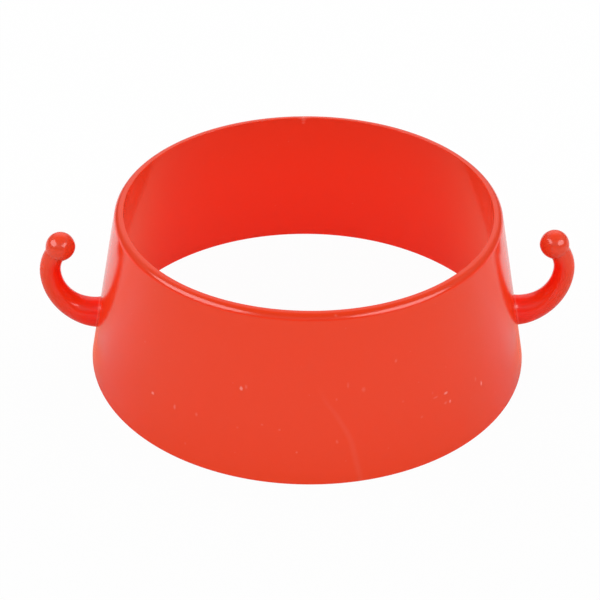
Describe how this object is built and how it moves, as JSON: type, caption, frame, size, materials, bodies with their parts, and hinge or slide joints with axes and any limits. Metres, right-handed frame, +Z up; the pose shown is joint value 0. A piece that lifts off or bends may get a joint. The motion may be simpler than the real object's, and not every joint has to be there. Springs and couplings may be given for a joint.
{
  "type": "cone chain collar",
  "caption": "Tapered, open plastic ring that slips over a cone, with a ball-ended hook on each side for hanging a chain.",
  "frame": {"origin": "centre of the wide bottom edge, on the plane that the ring stands on", "axes": "+X through the right hook, +Z up along the ring's axis, towards the narrow rim"},
  "size_m": [0.1334, 0.11, 0.0414],
  "materials": {
    "red_plastic": "gloss"
  },
  "bodies": {
    "root": {"collar": "red_plastic", "hook_left": "red_plastic", "hook_right": "red_plastic"}
  },
  "joints": []
}
